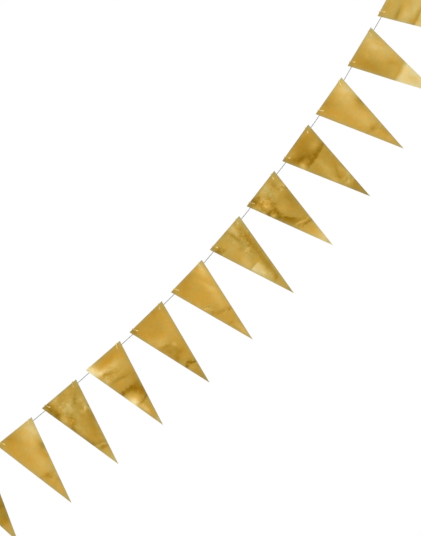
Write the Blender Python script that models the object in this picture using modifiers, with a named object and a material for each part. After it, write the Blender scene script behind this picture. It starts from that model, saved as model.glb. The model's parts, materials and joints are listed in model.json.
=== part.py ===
"""Pennant bunting: twelve long gold foil pennants on one thread, strung up as a swag.

Metres, +Z up, +X to the right, faces towards -Y. The origin is where the thread's upper end
loop is hooked up. From there the thread runs down to the left, behind every pennant. Each
pennant has a hole near both corners of its top edge, and a tie of the same thread goes through
the hole, over the top edge and round the thread. The other end of the thread has a loop too.
"""

import math

import bmesh
import bpy
from mathutils import Matrix, Vector

# Pennants: one cut shape, an isosceles triangle with its long point down.
PENNANT_WIDTH = 0.1089
PENNANT_LENGTH = 0.2234
SHEET_THICKNESS = 0.001
SHEET_COLUMNS = 6
SHEET_ROWS = 17

# Punched holes, one near each corner of the top edge.
HOLE_DIAMETER = 0.0032
HOLE_INSET = 0.0166
HOLE_DROP = 0.0103
HOLE_SIDES = 12
HOLE_CUT_DEPTH = 0.012

# Thread: it runs behind the sheets, a little nearer to the top edge than the holes are.
THREAD_DIAMETER = 0.0015
THREAD_DROP = 0.0096
THREAD_BEHIND = 0.0023
THREAD_STEPS = 3
ROUND_GAP = 0.0003

# Ties: rings of slightly finer thread.
TIE_DIAMETER = 0.0013
TIE_LEAN = 0.0054
TUBE_RESOLUTION = 2

# Ends: a straight lead, a knot of three wraps and a loop, beyond the last hole at each end.
LEAD_LENGTH = 0.075
LEAD_POINTS = 2
UPPER_LEAD_SLOPE = 62.6
LOWER_LEAD_SLOPE = 33.6
KNOT_WRAPS = 3
KNOT_RADIUS = 0.0026
KNOT_WAIST = 0.0019
KNOT_END_RADIUS = 0.0012
WRAP_PITCH = 0.0016
WRAP_POINTS = 4
KNOT_SIDES = 12
LOOP_LENGTH = 0.026
LOOP_WIDTH = 0.013
LOOP_LEG = 0.0011
LOOP_STEPS = 2

# One row per point of an end loop's side, from the knot out, as shares of the loop's length and
# of half its width. The legs start side by side, so the first width is LOOP_LEG's.
LOOP_POINT_COLUMNS = ("reach", "spread")
LOOP_POINTS = (
    (0.0, 0.0),
    (0.14, 0.05),
    (0.42, 0.60),
    (0.72, 1.0),
    (0.94, 0.62),
)

# Curls, cups and folds start below the tied strip, clear of the holes and the thread.
CALM_TOP = 0.018
CALM_REACH = 0.030
FOLD_SOFTNESS = 0.007

GOLD = (0.62, 0.42, 0.10, 1.0)
THREAD_GREY = (0.52, 0.52, 0.49, 1.0)

# One row per pennant, from the upper end to the lower one. Slope is how steeply its top edge
# climbs to the right, and the gap is the run of the thread from its lower corner to the next
# pennant. Lean turns the whole sheet about its holes, curl is how far the point comes to lie
# behind a flat sheet, and cup is how far the side edges lie behind the middle line.
PENNANT_COLUMNS = ("slope", "gap_mm", "gap_slope", "lean", "curl_mm", "cup_mm")
PENNANTS = (
    (61.9, 32.1, 59.2, -0.8, 2.0, 1.2),
    (58.9, 31.8, 61.8, 0.6, -1.0, -1.4),
    (55.0, 30.9, 54.6, -0.4, 1.5, 1.0),
    (54.5, 30.5, 51.0, 2.6, -1.5, 1.6),
    (52.0, 29.7, 52.3, 1.4, -2.0, -1.0),
    (49.1, 30.7, 51.4, 0.4, 1.0, 1.8),
    (46.3, 30.8, 44.2, -0.5, 1.5, 1.0),
    (44.1, 31.2, 41.3, 0.9, 1.5, -1.2),
    (41.0, 32.4, 42.6, -1.8, -1.0, 1.4),
    (40.3, 32.9, 40.5, 1.5, -2.0, -1.0),
    (38.7, 34.8, 36.1, -0.6, 1.0, 1.0),
    (34.4, 0.0, 34.4, 2.2, -2.0, 1.4),
)

# One row per fold: the pennant, how far down its length the fold crosses the middle line, how
# much the fold line climbs to the right, and by how many degrees the sheet below it turns back.
FOLD_COLUMNS = ("pennant", "at", "climb", "turn")
FOLDS = (
    (1, 0.35, -8.0, -3.0),
    (2, 0.52, 2.0, -5.0),
    (3, 0.60, -12.0, 2.2),
    (4, 0.28, 2.0, -4.6),
    (4, 0.76, 4.0, 3.0),
    (5, 0.58, -14.0, -3.6),
    (6, 0.49, 2.0, -3.0),
    (6, 0.68, -8.0, 3.6),
    (7, 0.57, -14.0, 1.8),
    (8, 0.44, 8.0, -1.6),
    (8, 0.69, 3.0, 3.2),
    (9, 0.20, -12.0, 3.2),
    (9, 0.50, -4.0, -4.2),
    (9, 0.64, 12.0, 2.6),
    (10, 0.36, 10.0, -1.4),
    (10, 0.71, -16.0, -2.8),
    (11, 0.61, -10.0, 1.8),
    (12, 0.60, 6.0, -3.4),
)

# One row per point of a tie's ring, as drop below the top edge and depth behind the sheet's
# middle: through the hole, up the front, over the top edge, down the back and under the thread.
TIE_POINT_COLUMNS = ("drop_mm", "back_mm")
TIE_POINTS = (
    (10.4, 0.0),
    (9.4, -1.35),
    (8.2, -1.7),
    (0.8, -1.6),
    (-0.75, -1.3),
    (-1.3, -0.1),
    (-0.8, 1.2),
    (1.2, 2.1),
    (8.0, 4.2),
    (10.8, 4.2),
    (11.9, 2.7),
    (11.0, 1.25),
)


def rows(columns, table):
    """The table's rows, each as a dictionary of its named columns."""
    return [dict(zip(columns, row)) for row in table]


def along_edge(slope):
    """The direction that climbs to the right at slope degrees, in the plane of the swag."""
    angle = math.radians(slope)
    return Vector((math.cos(angle), 0.0, math.sin(angle)))


def across_edge(slope):
    """The direction square to along_edge that points up, away from the pennants' points."""
    angle = math.radians(slope)
    return Vector((-math.sin(angle), 0.0, math.cos(angle)))


def smooth_points(points, steps, closed=False):
    """Points on a Catmull-Rom curve through the given ones, steps of them for each span."""
    count = len(points)
    spans = count if closed else count - 1

    def point(index):
        if closed:
            return points[index % count]
        return points[min(max(index, 0), count - 1)]

    found = []
    for span in range(spans):
        before, start, end, after = (point(span + k) for k in (-1, 0, 1, 2))
        for step in range(steps):
            t = step / steps
            found.append(
                start
                + 0.5 * t * (end - before)
                + t * t * (before - 2.5 * start + 2.0 * end - 0.5 * after)
                + t * t * t * (1.5 * (start - end) + 0.5 * (after - before))
            )
    if not closed:
        found.append(points[-1].copy())
    return found


def swag_layout():
    """Each pennant's place, as the middle of its hole line, with the first one's upper corner at 0."""
    corner = Vector((0.0, 0.0, 0.0))
    places = []
    for row in rows(PENNANT_COLUMNS, PENNANTS):
        along = along_edge(row["slope"])
        middle = corner - along * PENNANT_WIDTH / 2 - across_edge(row["slope"]) * HOLE_DROP
        places.append(middle)
        corner = corner - along * PENNANT_WIDTH - along_edge(row["gap_slope"]) * row["gap_mm"] / 1000
    return places


def thread_stations(places):
    """Where the thread passes each hole, from the upper end to the lower one."""
    reach = PENNANT_WIDTH / 2 - HOLE_INSET
    stations = []
    for place, row in zip(places, rows(PENNANT_COLUMNS, PENNANTS)):
        along = along_edge(row["slope"])
        middle = place + across_edge(row["slope"]) * (HOLE_DROP - THREAD_DROP)
        stations += [middle + along * reach, middle - along * reach]
    return stations


def knot_length():
    return KNOT_WRAPS * WRAP_PITCH


def end_reach():
    """From the last hole to the far inside of the end loop."""
    return LEAD_LENGTH + ROUND_GAP + knot_length() + ROUND_GAP + LOOP_LENGTH


def new_material(name, colour, metallic, roughness):
    material = bpy.data.materials.new(name)
    material.use_nodes = True
    shader = material.node_tree.nodes["Principled BSDF"]
    shader.inputs["Base Color"].default_value = colour
    shader.inputs["Metallic"].default_value = metallic
    shader.inputs["Roughness"].default_value = roughness
    return material


def new_object(name, data, collection, material=None):
    obj = bpy.data.objects.new(name, data)
    collection.objects.link(obj)
    if material is not None:
        obj.data.materials.append(material)
    return obj


def new_tube(name, points, diameter, collection, material, closed=False):
    """A round thread along a line of points, with its ends capped."""
    curve = bpy.data.curves.new(name, "CURVE")
    curve.dimensions = "3D"
    curve.bevel_depth = diameter / 2
    curve.bevel_resolution = TUBE_RESOLUTION
    curve.use_fill_caps = not closed
    spline = curve.splines.new("POLY")
    spline.points.add(len(points) - 1)
    spline.use_cyclic_u = closed
    for target, point in zip(spline.points, points):
        target.co = (*point, 1.0)
    return new_object(name, curve, collection, material)


def calm(drop):
    """0 along the tied strip under the top edge, rising smoothly to 1 below it."""
    share = min(max((drop - CALM_TOP) / CALM_REACH, 0.0), 1.0)
    return share * share * (3.0 - 2.0 * share)


def fold_depth(across, drop, fold):
    """How far one soft fold carries a point back, or forward where its turn is negative."""
    climb = math.radians(fold["climb"])
    below = (drop - fold["at"] * PENNANT_LENGTH) * math.cos(climb) + across * math.sin(climb)
    soft = FOLD_SOFTNESS * math.log1p(math.exp(below / FOLD_SOFTNESS))
    return math.tan(math.radians(fold["turn"])) * soft


def sheet_depth(across, drop, row, folds):
    """How far behind a flat sheet a point lies, at across and drop from the top edge's middle."""
    curl = row["curl_mm"] / 1000 * (drop / PENNANT_LENGTH) ** 2
    cup = row["cup_mm"] / 1000 * (2 * across / PENNANT_WIDTH) ** 2
    folded = sum(fold_depth(across, drop, fold) for fold in folds)
    return calm(drop) * (curl + cup + folded)


def sheet_mesh(name, row, folds):
    """The open sheet: a grid drawn in to a point, on its curl, cup and folds."""
    bm = bmesh.new()
    bmesh.ops.create_grid(bm, x_segments=SHEET_COLUMNS, y_segments=SHEET_ROWS, size=0.5)
    for vertex in bm.verts:
        share = 0.5 - vertex.co.y
        drop = share * PENNANT_LENGTH
        across = vertex.co.x * PENNANT_WIDTH * (1.0 - share)
        vertex.co = (across, sheet_depth(across, drop, row, folds), HOLE_DROP - drop)
    bmesh.ops.remove_doubles(bm, verts=bm.verts, dist=1e-6)
    mesh = bpy.data.meshes.new(name)
    bm.to_mesh(mesh)
    bm.free()
    mesh.shade_smooth()
    return mesh


def hole_cutter_mesh():
    """Both holes' cylinders, through a sheet in its own frame."""
    bm = bmesh.new()
    for side in (-1, 1):
        centre = Vector((side * (PENNANT_WIDTH / 2 - HOLE_INSET), 0.0, 0.0))
        bmesh.ops.create_cone(
            bm,
            cap_ends=True,
            segments=HOLE_SIDES,
            radius1=HOLE_DIAMETER / 2,
            radius2=HOLE_DIAMETER / 2,
            depth=HOLE_CUT_DEPTH,
            matrix=Matrix.Translation(centre) @ Matrix.Rotation(math.radians(90), 4, "X"),
        )
    mesh = bpy.data.meshes.new("hole_cutter")
    bm.to_mesh(mesh)
    bm.free()
    return mesh


def set_place(obj, place, row):
    """Puts an object made in a pennant's own frame, with 0 in the middle of its hole line."""
    obj.location = place + Vector((0.0, -THREAD_BEHIND, 0.0))
    obj.rotation_euler = (math.radians(row["lean"]), -math.radians(row["slope"]), 0.0)


def make_pennant(number, place, row, collection, cutters, cutter_mesh, material):
    name = f"pennant_{number:02d}"
    folds = [fold for fold in rows(FOLD_COLUMNS, FOLDS) if fold["pennant"] == number]
    pennant = new_object(name, sheet_mesh(name, row, folds), collection, material)
    set_place(pennant, place, row)
    cutter = new_object(f"hole_cutter_{number:02d}", cutter_mesh, cutters)
    set_place(cutter, place, row)
    cutter.hide_render = True
    cutter.display_type = "WIRE"
    thickness = pennant.modifiers.new("thickness", "SOLIDIFY")
    thickness.thickness = SHEET_THICKNESS
    thickness.offset = 0.0
    holes = pennant.modifiers.new("holes", "BOOLEAN")
    holes.operation = "DIFFERENCE"
    holes.object = cutter


def make_tie(number, side_name, side, place, row, collection, material):
    """The ring of thread at one hole. Over the top edge it leans out, towards the corner."""
    points = []
    for point in rows(TIE_POINT_COLUMNS, TIE_POINTS):
        drop = point["drop_mm"] / 1000
        out = TIE_LEAN * (1.0 - drop / HOLE_DROP)
        across = side * (PENNANT_WIDTH / 2 - HOLE_INSET + out)
        points.append(Vector((across, point["back_mm"] / 1000, HOLE_DROP - drop)))
    name = f"tie_{number:02d}_{side_name}"
    tie = new_tube(name, points, TIE_DIAMETER, collection, material, closed=True)
    set_place(tie, place, row)


def make_thread(stations, upper, lower, collection, material):
    """The thread: a lead, the run behind every pennant, and the other lead."""
    route = [stations[0] + upper * LEAD_LENGTH * k / LEAD_POINTS for k in range(LEAD_POINTS, 0, -1)]
    route += stations
    route += [stations[-1] + lower * LEAD_LENGTH * k / LEAD_POINTS for k in range(1, LEAD_POINTS + 1)]
    new_tube("thread", smooth_points(route, THREAD_STEPS), THREAD_DIAMETER, collection, material)


def turn_outwards(obj, place, direction):
    """Places an object whose own +Z runs out along the thread."""
    obj.location = place
    obj.rotation_euler = (0.0, math.atan2(direction.x, direction.z), 0.0)


def make_knot(name, place, direction, collection, material):
    """Three wraps of thread as one turned shape, from its outer end down to its inner end."""
    profile = [(0.0, knot_length()), (KNOT_END_RADIUS, knot_length())]
    for wrap in range(KNOT_WRAPS):
        top = knot_length() - wrap * WRAP_PITCH
        for step in range(1, WRAP_POINTS + 1):
            share = (step - 0.5) / WRAP_POINTS
            radius = KNOT_WAIST + (KNOT_RADIUS - KNOT_WAIST) * math.sin(math.pi * share)
            profile.append((radius, top - share * WRAP_PITCH))
    profile += [(KNOT_END_RADIUS, 0.0), (0.0, 0.0)]
    mesh = bpy.data.meshes.new(name)
    bm = bmesh.new()
    line = [bm.verts.new((radius, 0.0, height)) for radius, height in profile]
    for start, end in zip(line, line[1:]):
        bm.edges.new((start, end))
    bm.to_mesh(mesh)
    bm.free()
    knot = new_object(name, mesh, collection, material)
    turned = knot.modifiers.new("turned", "SCREW")
    turned.steps = KNOT_SIDES
    turned.render_steps = KNOT_SIDES
    turned.use_merge_vertices = True
    turned.merge_threshold = 1e-5
    turn_outwards(knot, place, direction)


def make_loop(name, place, direction, collection, material):
    """The end loop: two legs side by side at the knot that open into a long drop shape."""
    side = []
    for point in rows(LOOP_POINT_COLUMNS, LOOP_POINTS):
        spread = LOOP_LEG + (LOOP_WIDTH / 2 - LOOP_LEG) * point["spread"]
        side.append(Vector((spread, 0.0, LOOP_LENGTH * point["reach"])))
    top = Vector((0.0, 0.0, LOOP_LENGTH + THREAD_DIAMETER / 2))
    other = [Vector((-point.x, 0.0, point.z)) for point in reversed(side)]
    points = smooth_points(side + [top] + other, LOOP_STEPS)
    loop = new_tube(name, points, THREAD_DIAMETER, collection, material)
    turn_outwards(loop, place, direction)


def make_end(label, station, direction, collection, material):
    """The knot and the loop beyond one end of the thread."""
    knot_at = station + direction * (LEAD_LENGTH + ROUND_GAP)
    make_knot(f"{label}_knot", knot_at, direction, collection, material)
    loop_at = knot_at + direction * (knot_length() + ROUND_GAP)
    make_loop(f"{label}_loop", loop_at, direction, collection, material)


def main():
    for obj in list(bpy.data.objects):
        bpy.data.objects.remove(obj)
    parts = bpy.data.collections.new("pennant_bunting")
    cutters = bpy.data.collections.new("cutters")
    for collection in (parts, cutters):
        bpy.context.scene.collection.children.link(collection)
    gold = new_material("gold_foil", GOLD, 1.0, 0.3)
    grey = new_material("thread", THREAD_GREY, 0.0, 0.7)

    upper = along_edge(UPPER_LEAD_SLOPE)
    lower = -along_edge(LOWER_LEAD_SLOPE)
    places = swag_layout()
    origin = thread_stations(places)[0] + upper * end_reach()
    places = [place - origin for place in places]
    stations = thread_stations(places)

    cutter_mesh = hole_cutter_mesh()
    table = rows(PENNANT_COLUMNS, PENNANTS)
    for number, (place, row) in enumerate(zip(places, table), start=1):
        make_pennant(number, place, row, parts, cutters, cutter_mesh, gold)
        make_tie(number, "upper", 1, place, row, parts, grey)
        make_tie(number, "lower", -1, place, row, parts, grey)
    make_thread(stations, upper, lower, parts, grey)
    make_end("upper", stations[0], upper, parts, grey)
    make_end("lower", stations[-1], lower, parts, grey)


main()
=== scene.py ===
"""Looks of the pennant bunting: gold foil pennants on a plied thread, with their ties and its ends.

Metres, +Z up, +X to the right, faces towards -Y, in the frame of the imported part. The origin is
where the thread's upper end loop is hooked up. Each pennant is made in its own frame first, with
0 in the middle of its hole line, x across it, y behind it and z up, and then put in its place.
"""

import json
import math

import bpy
import numpy as np
from bpy.props import FloatProperty, FloatVectorProperty, IntProperty, PointerProperty
from mathutils import Euler, Matrix, Vector, noise

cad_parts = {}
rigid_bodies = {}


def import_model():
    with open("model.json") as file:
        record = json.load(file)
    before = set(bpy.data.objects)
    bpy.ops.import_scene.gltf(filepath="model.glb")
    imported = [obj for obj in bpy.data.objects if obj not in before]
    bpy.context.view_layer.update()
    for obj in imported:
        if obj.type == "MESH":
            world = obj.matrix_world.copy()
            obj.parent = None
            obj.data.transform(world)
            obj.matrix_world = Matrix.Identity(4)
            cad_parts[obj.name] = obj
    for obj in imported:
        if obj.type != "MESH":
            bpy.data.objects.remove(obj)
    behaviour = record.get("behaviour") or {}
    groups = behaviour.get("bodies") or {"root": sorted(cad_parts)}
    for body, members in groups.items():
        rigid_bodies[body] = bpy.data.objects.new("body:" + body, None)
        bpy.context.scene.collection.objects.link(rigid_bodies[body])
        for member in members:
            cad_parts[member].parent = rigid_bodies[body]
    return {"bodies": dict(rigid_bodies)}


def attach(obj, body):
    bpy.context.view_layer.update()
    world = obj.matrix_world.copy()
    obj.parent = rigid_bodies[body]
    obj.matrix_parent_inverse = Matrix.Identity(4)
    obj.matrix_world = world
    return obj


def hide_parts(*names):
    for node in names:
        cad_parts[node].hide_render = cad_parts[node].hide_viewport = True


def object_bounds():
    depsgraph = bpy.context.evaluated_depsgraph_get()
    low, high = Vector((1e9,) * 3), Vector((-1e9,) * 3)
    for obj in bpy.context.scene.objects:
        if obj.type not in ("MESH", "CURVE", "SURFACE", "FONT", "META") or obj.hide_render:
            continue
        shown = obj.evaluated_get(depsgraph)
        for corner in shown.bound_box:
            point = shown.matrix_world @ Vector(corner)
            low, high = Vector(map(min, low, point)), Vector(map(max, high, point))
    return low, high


bl_info = {
    "name": "Foil Pennant Bunting",
    "version": (1, 0, 0),
    "blender": (4, 5, 0),
    "location": "3D Viewport > Sidebar > Bunting",
    "description": "Gold foil pennants, ties, plied thread and studio for a string of bunting",
    "category": "Object",
}

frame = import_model()
CAD_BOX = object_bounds()
# Nothing is jointed, so every piece rides on the part's one body.
(BODY,) = frame["bodies"]

# ---------------------------------------------------------------- sizes shared with the solids

PENNANT_WIDTH = 0.1089
PENNANT_LENGTH = 0.2234
HOLE_DIAMETER = 0.0032
HOLE_INSET = 0.0166
HOLE_DROP = 0.0103
THREAD_DIAMETER = 0.0015
THREAD_DROP = 0.0096
THREAD_BEHIND = 0.0023
ROUND_GAP = 0.0003
TIE_DIAMETER = 0.0013
TIE_LEAN = 0.0054
LEAD_LENGTH = 0.075
LEAD_POINTS = 2
UPPER_LEAD_SLOPE = 62.6
LOWER_LEAD_SLOPE = 33.6
KNOT_WRAPS = 3
WRAP_PITCH = 0.0016
KNOT_LENGTH = KNOT_WRAPS * WRAP_PITCH
LOOP_LENGTH = 0.026
LOOP_WIDTH = 0.013
LOOP_LEG = 0.0011
CALM_TOP = 0.018
CALM_REACH = 0.030
FOLD_SOFTNESS = 0.007


def table(columns, *lines):
    """Each line as a dictionary of the columns, whose names stand in one string."""
    return [dict(zip(columns.split(), line)) for line in lines]


# One row per pennant, from the upper end to the lower one. Slope is how steeply its top edge
# climbs to the right, and the gap is the run of the thread from its lower corner to the next
# pennant. Lean turns the whole sheet about its holes, curl is how far the point comes to lie
# behind a flat sheet, and cup is how far the side edges lie behind the middle line. Tone is how
# pale the foil is painted as a whole, a painted reflection of how each sheet catches the studio's
# light, warm how far it goes towards orange, and look names the rows below that lie on it.
PENNANTS = table(
    "slope gap_mm gap_slope lean curl_mm cup_mm tone warm look",
    (61.9, 32.1, 59.2, -0.8, 2.0, 1.2, 0.56, -0.6, "a"),
    (58.9, 31.8, 61.8, 0.6, -1.0, -1.4, 0.49, -0.1, "b"),
    (55.0, 30.9, 54.6, -0.4, 1.5, 1.0, 0.54, 0.5, "c"),
    (54.5, 30.5, 51.0, 2.6, -1.5, 1.6, 0.38, 0.1, "d"),
    (52.0, 29.7, 52.3, 1.4, -2.0, -1.0, 0.4, -0.2, "e"),
    (49.1, 30.7, 51.4, 0.4, 1.0, 1.8, 0.48, -0.8, "f"),
    (46.3, 30.8, 44.2, -0.5, 1.5, 1.0, 0.51, 1.0, "g"),
    (44.1, 31.2, 41.3, 0.9, 1.5, -1.2, 0.44, 1.0, "h"),
    (41.0, 32.4, 42.6, -1.8, -1.0, 1.4, 0.455, 0.4, "i"),
    (40.3, 32.9, 40.5, 1.5, -2.0, -1.0, 0.42, -0.3, "j"),
    (38.7, 34.8, 36.1, -0.6, 1.0, 1.0, 0.54, 0.5, "c"),
    (34.4, 0.0, 34.4, 2.2, -2.0, 1.4, 0.22, -0.6, "k"),
)

# One row per fold: the pennant, how far down its length the fold crosses the middle line, how
# much the fold line climbs to the right, and by how many degrees the sheet below it turns back.
FOLDS = table(
    "pennant at climb turn",
    (1, 0.35, -8.0, -3.0),
    (2, 0.52, 2.0, -5.0),
    (3, 0.6, -12.0, 2.2),
    (4, 0.28, 2.0, -4.6),
    (4, 0.76, 4.0, 3.0),
    (5, 0.58, -14.0, -3.6),
    (6, 0.49, 2.0, -3.0),
    (6, 0.68, -8.0, 3.6),
    (7, 0.57, -14.0, 1.8),
    (8, 0.44, 8.0, -1.6),
    (8, 0.69, 3.0, 3.2),
    (9, 0.2, -12.0, 3.2),
    (9, 0.5, -4.0, -4.2),
    (9, 0.64, 12.0, 2.6),
    (10, 0.36, 10.0, -1.4),
    (10, 0.71, -16.0, -2.8),
    (11, 0.61, -10.0, 1.8),
    (12, 0.6, 6.0, -3.4),
)

# One row per point of a tie's ring, as drop below the top edge and depth behind the sheet's
# middle: through the hole, up the front, over the top edge, down the back and under the thread.
TIE_POINTS = table(
    "drop_mm back_mm",
    (11.0, 0.2),
    (11.5, -0.9),
    (10.6, -1.65),
    (9.0, -1.8),
    (0.8, -1.6),
    (-0.75, -1.3),
    (-1.3, -0.1),
    (-0.8, 1.2),
    (1.2, 2.1),
    (8.0, 4.2),
    (10.8, 4.2),
    (11.9, 2.7),
    (11.0, 1.25),
)

# One row per point of an end loop's side, from the knot out, as shares of the loop's length and
# of half its width. The legs start side by side, so the first width is LOOP_LEG's.
LOOP_POINTS = table(
    "reach spread",
    (0.0, 0.0),
    (0.14, 0.05),
    (0.42, 0.6),
    (0.72, 1.0),
    (0.94, 0.62),
)

# ---------------------------------------------------------------- what only the looks have

# Soft creases pressed into a look's foil. In these tables across is from the middle line, at is the
# share of the pennant's length, climb is in degrees, and a look of all lies on every pennant. A mark
# fades to a third at half_wide and half_tall from its middle, along its line and square to it. Rise
# is how far a crease stands towards the viewer, and a trough's rise is negative.
CREASES = table(
    "look across_mm at climb half_wide_mm half_tall_mm rise_mm",
    ("a", -26, 0.185, 2, 20, 4.0, -0.3),
    ("a", -22, 0.36, -12, 24, 5.0, -0.45),
    ("b", 0, 0.515, 2, 26, 2.4, -0.25),
    ("c", -4, 0.595, -12, 20, 4.0, -0.3),
    ("c", 31, 0.31, 74, 16, 5.0, -0.3),
    ("d", -28, 0.17, -34, 20, 5.0, -0.4),
    ("d", 8, 0.265, 2, 32, 3.0, -0.4),
    ("d", 2, 0.655, 30, 10, 2.6, 0.25),
    ("e", -15, 0.45, -57, 20, 4.5, -0.4),
    ("e", -3, 0.57, -20, 17, 1.8, 0.35),
    ("e", -22, 0.3, 62, 12, 4.0, -0.3),
    ("f", -14, 0.487, 2, 15, 1.6, -0.25),
    ("f", 7, 0.25, 88, 38, 4.0, -0.25),
    ("f", 24, 0.36, 80, 34, 6.0, -0.35),
    ("g", -20, 0.49, -30, 12, 4.0, -0.3),
    ("g", 10, 0.58, -12, 12, 3.0, -0.2),
    ("h", -16, 0.47, -24, 22, 6.0, -0.35),
    ("h", 0, 0.69, 2, 15, 3.2, -0.55),
    ("i", -10, 0.3, -4, 34, 4.0, -0.25),
    ("i", 2, 0.475, -2, 30, 5.0, -0.5),
    ("i", -4, 0.655, 12, 15, 1.8, -0.25),
    ("i", -26, 0.172, 10, 6, 2.0, -0.25),
    ("j", -38, 0.12, -70, 20, 5.0, -0.4),
    ("j", -1, 0.705, -26, 14, 1.8, 0.35),
    ("j", 20, 0.19, 50, 14, 4.0, -0.2),
    ("j", -19, 0.58, -75, 26, 4.0, -0.3),
    ("k", 14, 0.6, -58, 22, 6.0, -0.45),
    ("k", 0, 0.76, -4, 12, 2.6, -0.25),
)
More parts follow.
